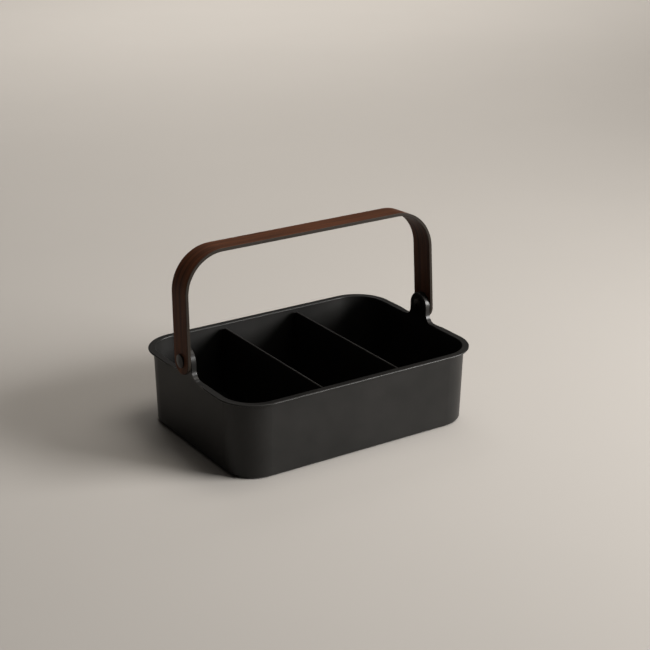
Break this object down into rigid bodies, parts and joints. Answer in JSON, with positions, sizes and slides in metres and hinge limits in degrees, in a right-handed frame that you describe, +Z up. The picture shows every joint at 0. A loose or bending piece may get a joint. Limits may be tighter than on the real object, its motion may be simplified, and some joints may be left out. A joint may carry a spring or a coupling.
{
  "type": "tool storage caddy",
  "caption": "Open rectangular tray with a rolled rim, fixed dividers and a bent laminated wood carrying handle that swings on an ear at each short end and folds flat onto the rim.",
  "frame": {"origin": "middle of the tray on the surface that it stands on", "axes": "+X along the tray's long side, +Y across it, +Z up"},
  "size_m": [0.3308, 0.232, 0.2266],
  "materials": {
    "tray_plastic": "satin black moulded plastic with a fine texture",
    "walnut_face": "dark walnut veneer with a satin lacquer",
    "handle_core": "dark stained laminated core, satin",
    "black_steel": "blackened steel, satin",
    "black_nylon": "black nylon"
  },
  "bodies": {
    "tray": {"tray": "tray_plastic", "divider_left": "tray_plastic", "divider_right": "tray_plastic", "spacer_left": "black_nylon", "spacer_right": "black_nylon", "washers_left": "black_nylon", "washers_right": "black_nylon", "sleeve_nut_left": "black_steel", "sleeve_nut_right": "black_steel", "pivot_screw_left": "black_steel", "pivot_screw_right": "black_steel"},
    "handle": {"handle_core": "handle_core", "handle_outer_veneer": "walnut_face", "handle_inner_veneer": "walnut_face"}
  },
  "joints": [
    {"name": "handle_swing", "type": "hinge", "parent": "tray", "child": "handle", "pos_m": [0, 0, 0.106], "axis": [1, 0, 0], "range_deg": [-87, 93]}
  ]
}
